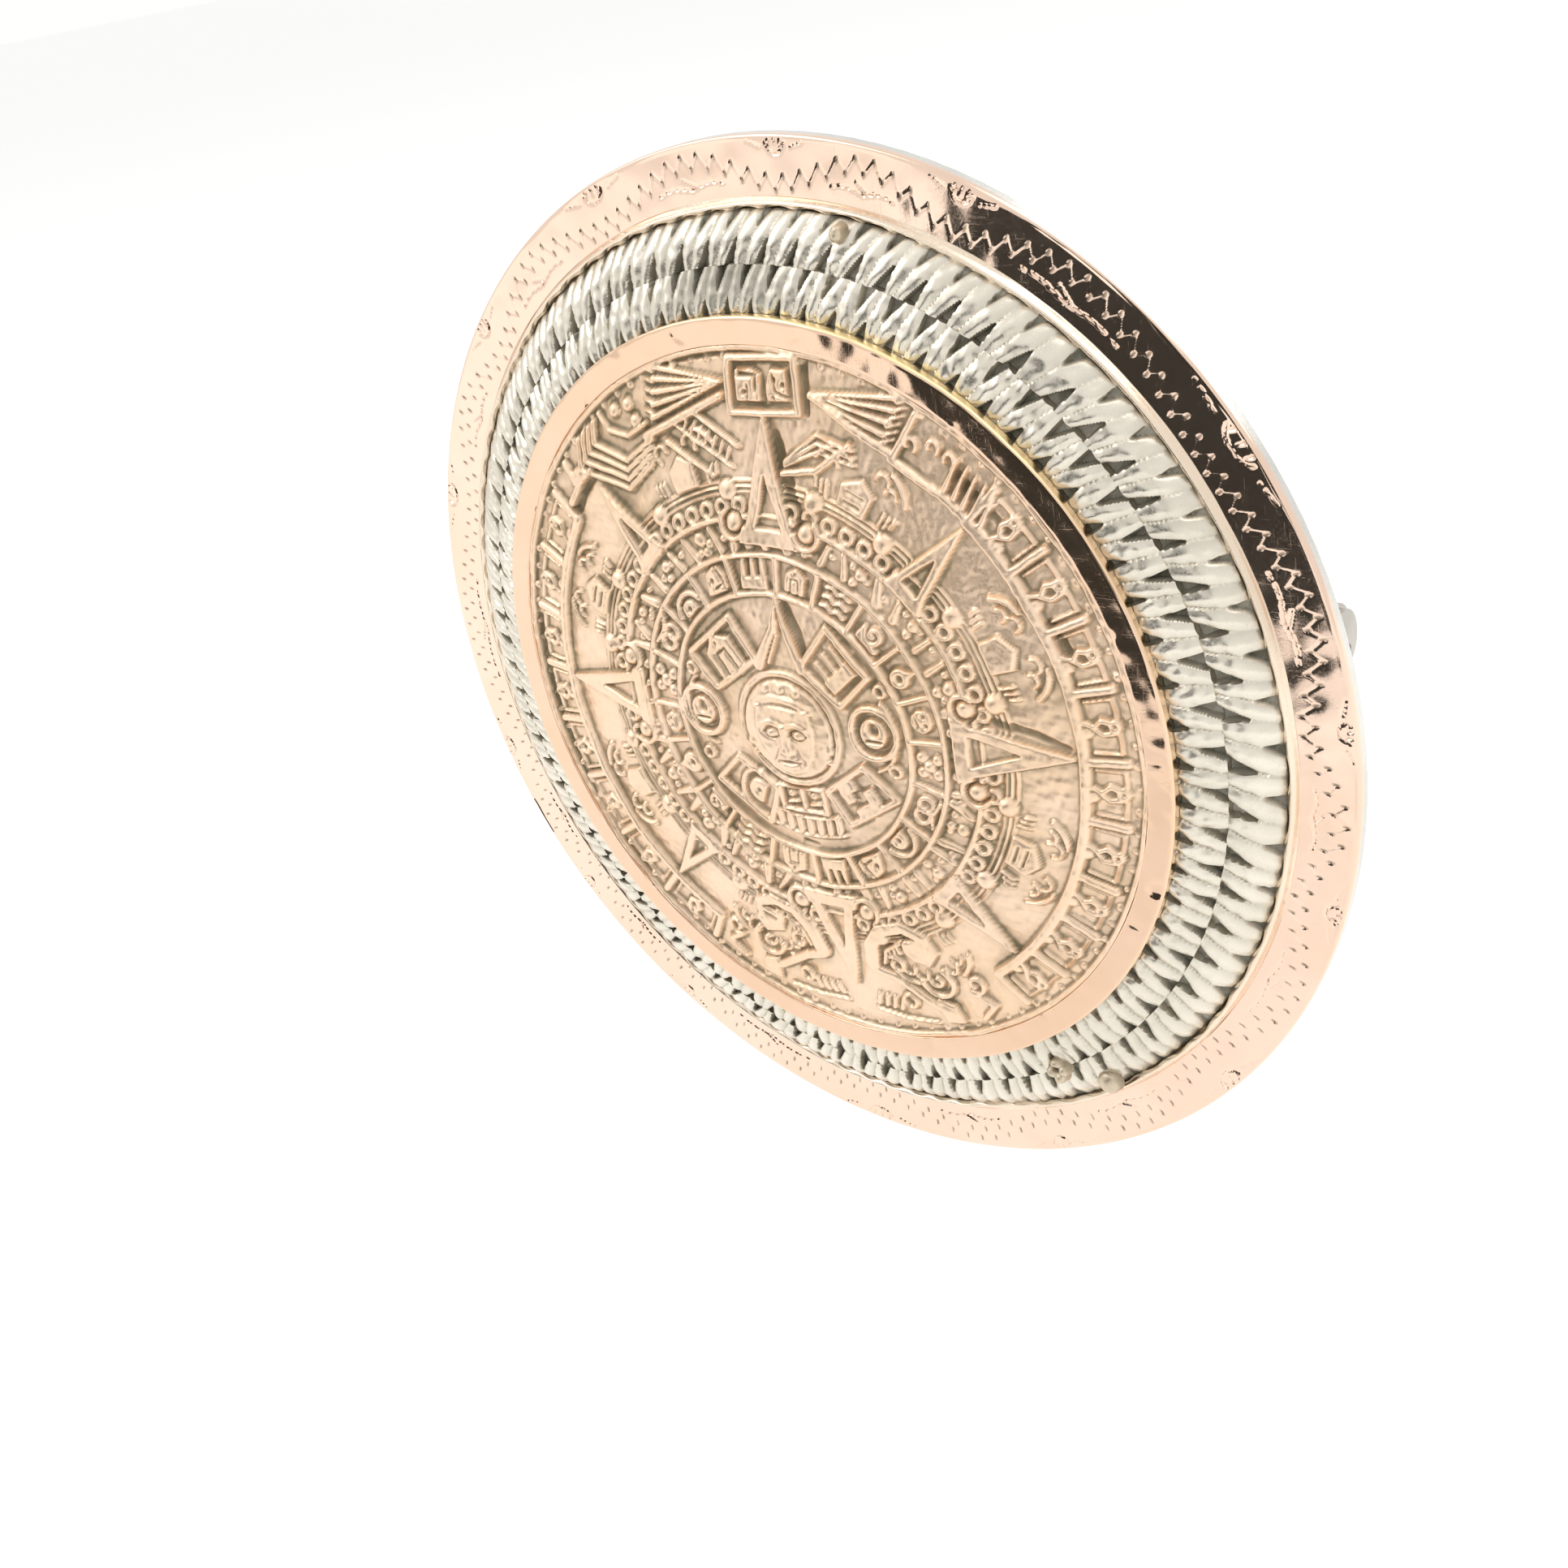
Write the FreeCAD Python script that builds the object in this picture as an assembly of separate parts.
import FreeCAD, Part

import math
import os

os.makedirs("parts", exist_ok=True)

# Round brooch: a stepped disc of rose gold and silver layers with a domed calendar relief,
# and on its back a hinged pin that closes into a roller catch.
# Frame: face towards -Y, top of the calendar towards +Z, +X to the right seen from the front.
# The origin is on the disc's axis, halfway between the foremost and the rearmost point.
# Lengths are in mm. A height h is measured forwards from the front face of the flange.

# Driving dimensions
disc_radius = 25.0
relief_top_h = 3.85  # crown of the face in the middle of the calendar
pin_z = 3.85  # height of the pin line above the disc's centre
pin_h = -3.7  # depth of the pin line behind the flange's front face
housing_radius = 1.45  # outside of the catch
housing_slot = 1.3  # the lips of this slot are the rearmost points

# Base plate and engraved flange
overlay_thickness = 0.3
plate_thickness = 0.5
plate_front_h = -overlay_thickness
plate_back_h = plate_front_h - plate_thickness
edge_round = 0.12

# Lip around the braid
lip_outer_radius = 22.6
lip_inner_radius = 22.15
lip_top_h = 0.34
lip_outer_shoulder_h = 0.08
lip_inner_shoulder_h = 0.18

# Braid, its sloping seat and the studs that cover its joints
seat_inner_radius = 18.25
seat_outer_h = -0.05
seat_inner_h = 1.3
braid_mid_radius = 20.15
braid_edge = 0.3  # thickness of a row at its two edges
braid_crown = 0.75  # thickness of a row in its middle
stud_proud = 0.2
# Each stud: distance from the axis, angle from +X towards +Z, the stud's own radius
studs_at = ((21.7, 76.8, 0.4), (21.7, -53.4, 0.65), (20.1, -58.0, 0.7))

# Raised wall, rim and the ring that carries the calendar
wall_outer_radius = 18.25
wall_inner_radius = 17.85
rim_outer_radius = 18.3
rim_inner_radius = 17.1
rim_top_h = 2.2
rim_thickness = 0.4
bearer_inner_radius = 16.3

# Calendar disc: a shallow dome with the relief standing on it
calendar_radius = 17.05
dome_radius = 98.0
ground_apex_h = 3.37
relief_height = 0.4
calendar_thickness = 0.5
face_radius = 2.95
ridge_width = 0.3
ridge_radii = (6.5, 8.25, 9.9, 14.3)
day_count = 20
day_bar_width = 0.28
ray_root_radius = 9.2
cardinal_ray_tip = 14.2
diagonal_ray_tip = 13.4
ray_half_width = 1.7

# Hinge
hinge_x = -21.6
hinge_plate_length = 4.6
hinge_plate_width = 4.2
solder_plate_thickness = 0.4
solder_plate_corner = 0.8  # corner radius as a share of half the plate's shorter side
ear_gap = 1.76
ear_thickness = 0.5
ear_radius = 1.25
strap_thickness = 0.35
rivet_radius = 0.4
rivet_head_radius = 0.7
rivet_head_thickness = 0.25
rivet_head_round = 0.2
knuckle_radius = 1.1
knuckle_length = 1.6
knuckle_neck_radius = 0.79
running_clearance = 0.05

# Pin stem
stem_radius = 0.45
stem_root_x = -20.0
stem_taper_x = 20.0
stem_tip_x = 22.5
stem_tip_radius = 0.1

# Catch: a fixed split housing with a slotted roller inside it
catch_plate_length = 4.4
catch_plate_width = 3.6
catch_plate_x = 21.0
housing_start_x = 20.2
housing_end_x = 22.65
housing_bore = 1.02
neck_width = 1.8
neck_inset = 0.2  # from the housing's ends
roller_radius = housing_bore - running_clearance
roller_bore = 0.62
roller_slot = 1.04
collar_radius = 1.15
collar_thickness = 0.3
cap_radius = 1.25
cap_thickness = 0.3
cap_hole_radius = 0.26
cap_hole_distance = 0.62  # from the pin line
cap_hole_angle = -60.0  # from straight back; a positive angle turns towards +Z

# Worked out from the above
solder_plate_back_h = plate_back_h - solder_plate_thickness
housing_lip_reach = math.sqrt(housing_radius**2 - (housing_slot / 2) ** 2)
depth = relief_top_h - pin_h + housing_lip_reach
flange_y = relief_top_h - depth / 2


def y_of(h):
    return flange_y - h


def at(radius, h):
    return FreeCAD.Vector(radius, y_of(h), 0)


def revolved(edges):
    """A solid turned about the disc's axis from edges that close in the X-Y plane."""
    face = Part.Face(Part.Wire(Part.__sortEdges__(edges)))
    solid = face.revolve(FreeCAD.Vector(0, 0, 0), FreeCAD.Vector(0, 1, 0), 360)
    return solid if solid.Volume > 0 else solid.reversed()


def outline(points):
    """Straight edges from point to point, open at the end."""
    return [Part.LineSegment(a, b).toShape() for a, b in zip(points, points[1:])]


def arc(start, middle, end):
    return Part.Arc(start, middle, end).toShape()


def ring(inner, outer, low_h, high_h):
    corners = [at(inner, low_h), at(outer, low_h), at(outer, high_h), at(inner, high_h)]
    return revolved(outline(corners + corners[:1]))


def round_edges(shape, radius, h):
    """Rounds the circular edges that lie at height h."""
    edges = [e for e in shape.Edges if abs(e.CenterOfMass.y - y_of(h)) < 1e-4]
    return shape.makeFillet(radius, edges)


def rod(radius, start, end):
    axis = end - start
    return Part.makeCylinder(radius, axis.Length, start, axis)


def block(x_range, h_range, z_range):
    """A box between two values of x, of height h and of z."""
    low = FreeCAD.Vector(x_range[0], y_of(h_range[1]), z_range[0])
    size_x = x_range[1] - x_range[0]
    size_y = h_range[1] - h_range[0]
    return Part.makeBox(size_x, size_y, z_range[1] - z_range[0], low)


def on_back(x, h, dz=0.0):
    """A point on the pin line's level, dz above it."""
    return FreeCAD.Vector(x, y_of(h), pin_z + dz)


# Layers of the disc


def back_plate():
    plate = rod(disc_radius, at(0, plate_back_h), at(0, plate_front_h))
    return round_edges(plate, edge_round, plate_back_h)


def flange_overlay():
    overlay = ring(lip_outer_radius, disc_radius, plate_front_h, 0.0)
    outer = [e for e in overlay.Edges if e.BoundBox.XMax > disc_radius - 0.01]
    front = [e for e in outer if abs(e.CenterOfMass.y - y_of(0.0)) < 1e-4]
    return overlay.makeFillet(edge_round, front)


def lip_ring():
    low_inner = at(lip_inner_radius, plate_front_h)
    low_outer = at(lip_outer_radius, plate_front_h)
    shoulder_outer = at(lip_outer_radius, lip_outer_shoulder_h)
    shoulder_inner = at(lip_inner_radius, lip_inner_shoulder_h)
    crown = at((lip_inner_radius + lip_outer_radius) / 2, lip_top_h)
    sides = outline([shoulder_inner, low_inner, low_outer, shoulder_outer])
    return revolved(sides + [arc(shoulder_outer, crown, shoulder_inner)])


def seat_h(radius):
    """Height of the seat's sloping face."""
    slope = (seat_inner_h - seat_outer_h) / (lip_inner_radius - seat_inner_radius)
    return seat_outer_h + slope * (lip_inner_radius - radius)


def braid_seat():
    corners = [
        at(seat_inner_radius, plate_front_h),
        at(lip_inner_radius, plate_front_h),
        at(lip_inner_radius, seat_outer_h),
        at(seat_inner_radius, seat_inner_h),
    ]
    return revolved(outline(corners + corners[:1]))


def braid_row(inner, outer):
    """One row of the braid, with a crowned face."""
    middle = (inner + outer) / 2
    low_inner = at(inner, seat_h(inner))
    low_outer = at(outer, seat_h(outer))
    top_inner = at(inner, seat_h(inner) + braid_edge)
    top_outer = at(outer, seat_h(outer) + braid_edge)
    crown = at(middle, seat_h(middle) + braid_crown)
    sides = outline([top_inner, low_inner, low_outer, top_outer])
    return revolved(sides + [arc(top_outer, crown, top_inner)])


def braid_studs(neighbours):
    """Small round studs that stand on the braid, fitted round what they touch."""
    studs = []
    for distance, angle, radius in studs_at:
        x = distance * math.cos(math.radians(angle))
        z = distance * math.sin(math.radians(angle))
        foot = FreeCAD.Vector(x, y_of(seat_h(distance - radius) + braid_edge / 2), z)
        top = FreeCAD.Vector(x, y_of(seat_h(distance) + braid_crown + stud_proud), z)
        studs.append(rod(radius, foot, top).cut(neighbours))
    return Part.makeCompound(studs)


def rim_ring():
    rim = ring(rim_inner_radius, rim_outer_radius, rim_top_h - rim_thickness, rim_top_h)
    return round_edges(rim, edge_round, rim_top_h)


def dome_drop(radius):
    return dome_radius - math.sqrt(dome_radius**2 - radius**2)


def dome_solid(apex_h, floor_h):
    """Everything under a dome of the given apex, down to a flat floor."""
    floor_middle = at(0, floor_h)
    floor_edge = at(calendar_radius, floor_h)
    edge = at(calendar_radius, apex_h - dome_drop(calendar_radius))
    halfway = at(calendar_radius / 2, apex_h - dome_drop(calendar_radius / 2))
    apex = at(0, apex_h)
    sides = outline([apex, floor_middle, floor_edge, edge])
    return revolved(sides + [arc(edge, halfway, apex)])


def calendar_edge_h():
    return ground_apex_h - calendar_thickness - dome_drop(calendar_radius)


def turned(shape, degrees):
    copy = shape.copy()
    copy.rotate(FreeCAD.Vector(0, 0, 0), FreeCAD.Vector(0, 1, 0), degrees)
    return copy


def upright(points):
    """A prism through the relief, from points (x, z) in the plane of the disc."""
    corners = [FreeCAD.Vector(x, y_of(0), z) for x, z in points]
    face = Part.Face(Part.makePolygon(corners + corners[:1]))
    return face.extrude(FreeCAD.Vector(0, -relief_top_h, 0))


def face_boss():
    """The round boss that carries the face, crowned like a button."""
    shoulder_h = ground_apex_h + relief_height / 2
    rise = relief_top_h - shoulder_h
    crown_radius = (face_radius**2 + rise**2) / (2 * rise)
    ball = Part.makeSphere(crown_radius, at(0, relief_top_h - crown_radius))
    foot = at(0, ground_apex_h - calendar_thickness)
    return rod(face_radius, foot, at(0, relief_top_h)).common(ball)


def calendar_disc():
    """A dished disc with the face, the ring lines, the day bars and the eight rays in relief."""
    floor_h = 0.0
    ground = dome_solid(ground_apex_h, floor_h)
    hollow = dome_solid(ground_apex_h - calendar_thickness, floor_h)
    relief = dome_solid(ground_apex_h + relief_height, floor_h)
    tools = []
    for radius in ridge_radii:
        tools.append(ring(radius - ridge_width / 2, radius + ridge_width / 2, 0.0, relief_top_h))
    day_bar = upright(
        (
            (-day_bar_width / 2, ridge_radii[0]),
            (day_bar_width / 2, ridge_radii[0]),
            (day_bar_width / 2, ridge_radii[1]),
            (-day_bar_width / 2, ridge_radii[1]),
        )
    )
    for i in range(day_count):
        tools.append(turned(day_bar, i * 360 / day_count))
    for i in range(8):
        tip = diagonal_ray_tip if i % 2 else cardinal_ray_tip
        ray = upright(
            ((-ray_half_width, ray_root_radius), (ray_half_width, ray_root_radius), (0, tip))
        )
        tools.append(turned(ray, i * 45))
    raised = tools[0].multiFuse(tools[1:]).common(relief)
    return ground.fuse(raised).fuse(face_boss()).cut(hollow).removeSplitter()


# Hinge, pin and catch


def oval_plate(x_middle, length, width):
    half_x = length / 2
    half_z = width / 2
    plate = block(
        (x_middle - half_x, x_middle + half_x),
        (solder_plate_back_h, plate_back_h),
        (pin_z - half_z, pin_z + half_z),
    )
    upright_edges = [e for e in plate.Edges if e.BoundBox.YLength > solder_plate_thickness / 2]
    return plate.makeFillet(min(half_x, half_z) * solder_plate_corner, upright_edges)


def hinge_ears():
    """A strap with an ear at each end; the rivet's holes are as wide as the rivet."""
    outer = ear_gap / 2 + ear_thickness
    x_range = (hinge_x - ear_radius, hinge_x + ear_radius)
    body = block(x_range, (pin_h, solder_plate_back_h), (pin_z - outer, pin_z + outer))
    rounded = rod(ear_radius, on_back(hinge_x, pin_h, -outer), on_back(hinge_x, pin_h, outer))
    window_low_h = pin_h - 2 * ear_radius
    window_high_h = solder_plate_back_h - strap_thickness
    window_x = (hinge_x - 2 * ear_radius, hinge_x + 2 * ear_radius)
    window_z = (pin_z - ear_gap / 2, pin_z + ear_gap / 2)
    window = block(window_x, (window_low_h, window_high_h), window_z)
    hole = rod(rivet_radius, on_back(hinge_x, pin_h, -outer), on_back(hinge_x, pin_h, outer))
    return body.fuse(rounded).cut(window).cut(hole).removeSplitter()


def hinge_rivet():
    outer = ear_gap / 2 + ear_thickness
    head_end = outer + rivet_head_thickness
    shank = rod(rivet_radius, on_back(hinge_x, pin_h, -outer), on_back(hinge_x, pin_h, outer))
    heads = []
    for side in (-1, 1):
        inner_end = on_back(hinge_x, pin_h, side * outer)
        outer_end = on_back(hinge_x, pin_h, side * head_end)
        head = rod(rivet_head_radius, inner_end, outer_end)
        rim = [e for e in head.Edges if abs(e.CenterOfMass.z - outer_end.z) < 1e-4]
        heads.append(head.makeFillet(rivet_head_round, rim))
    return shank.fuse(heads[0]).fuse(heads[1])


def pin_knuckle():
    low = on_back(hinge_x, pin_h, -knuckle_length / 2)
    high = on_back(hinge_x, pin_h, knuckle_length / 2)
    neck = rod(knuckle_neck_radius, on_back(hinge_x, pin_h), on_back(stem_root_x, pin_h))
    bore = rod(rivet_radius + running_clearance, low, high)
    return rod(knuckle_radius, low, high).fuse(neck).cut(bore)


def pin_stem():
    """The straight stem, its taper and its blunt point; it starts at the knuckle's neck."""
    straight = rod(stem_radius, on_back(stem_root_x, pin_h), on_back(stem_taper_x, pin_h))
    taper_length = stem_tip_x - stem_taper_x
    taper_start = on_back(stem_taper_x, pin_h)
    along = FreeCAD.Vector(1, 0, 0)
    taper = Part.makeCone(stem_radius, stem_tip_radius, taper_length, taper_start, along)
    point = Part.makeSphere(stem_tip_radius, on_back(stem_tip_x, pin_h))
    return straight.fuse(taper).fuse(point)


def slot_cutter(width, reach):
    """A slot from the pin line straight back."""
    x_range = (housing_start_x - 2, housing_end_x + 2)
    return block(x_range, (pin_h - reach, pin_h), (pin_z - width / 2, pin_z + width / 2))


def catch_housing():
    """A split tube on a neck, open to the back."""
    start = on_back(housing_start_x, pin_h)
    end = on_back(housing_end_x, pin_h)
    neck = block(
        (housing_start_x + neck_inset, housing_end_x - neck_inset),
        (pin_h, solder_plate_back_h),
        (pin_z - neck_width / 2, pin_z + neck_width / 2),
    )
    body = rod(housing_radius, start, end).fuse(neck)
    slot = slot_cutter(housing_slot, 2 * housing_radius)
    return body.cut(rod(housing_bore, start, end)).cut(slot).removeSplitter()


cap_start_x = housing_end_x + running_clearance


def roller_sleeve():
    """A slotted tube in the housing, with a collar at its inner end."""
    first = housing_start_x - running_clearance - collar_thickness
    tube = rod(roller_radius, on_back(first, pin_h), on_back(cap_start_x, pin_h))
    collar = rod(
        collar_radius, on_back(first, pin_h), on_back(first + collar_thickness, pin_h)
    )
    bore = rod(roller_bore, on_back(first, pin_h), on_back(cap_start_x, pin_h))
    slot = slot_cutter(roller_slot, 2 * housing_radius)
    return tube.fuse(collar).cut(bore).cut(slot).removeSplitter()


def roller_cap():
    """The round thumb cap that closes the sleeve's outer end, with a small hole to one side."""
    start, end = cap_start_x, cap_start_x + cap_thickness
    hole_h = pin_h - cap_hole_distance
    hole = rod(cap_hole_radius, on_back(start, hole_h), on_back(end, hole_h))
    hole.rotate(on_back(0, pin_h), FreeCAD.Vector(1, 0, 0), cap_hole_angle)
    cap = rod(cap_radius, on_back(start, pin_h), on_back(end, pin_h))
    return cap.cut(hole)


lip = lip_ring()
outer_row = braid_row(braid_mid_radius, lip_inner_radius)
inner_row = braid_row(seat_inner_radius, braid_mid_radius)

nodes = {
    "back_plate": back_plate(),
    "flange_overlay": flange_overlay(),
    "lip_ring": lip,
    "braid_seat": braid_seat(),
    "braid_outer_row": outer_row,
    "braid_inner_row": inner_row,
    "braid_studs": braid_studs(outer_row.fuse([inner_row, lip])),
    "riser_wall": ring(
        wall_inner_radius, wall_outer_radius, plate_front_h, rim_top_h - rim_thickness
    ),
    "rim_ring": rim_ring(),
    "bearer_ring": ring(
        bearer_inner_radius, wall_inner_radius, plate_front_h, calendar_edge_h()
    ),
    "calendar_disc": calendar_disc(),
    "hinge_base": oval_plate(hinge_x, hinge_plate_length, hinge_plate_width),
    "hinge_ears": hinge_ears(),
    "hinge_rivet": hinge_rivet(),
    "pin_knuckle": pin_knuckle(),
    "pin_stem": pin_stem(),
    "catch_base": oval_plate(catch_plate_x, catch_plate_length, catch_plate_width),
    "catch_housing": catch_housing(),
    "roller_sleeve": roller_sleeve(),
    "roller_cap": roller_cap(),
}

for name, shape in nodes.items():
    if not shape.isValid() or shape.Volume <= 0:
        raise SystemExit(name + " is not a valid shape")
    shape.exportStep("parts/" + name + ".step")
    print(name, len(shape.Solids), "solid(s),", round(shape.Volume, 3), "mm3")
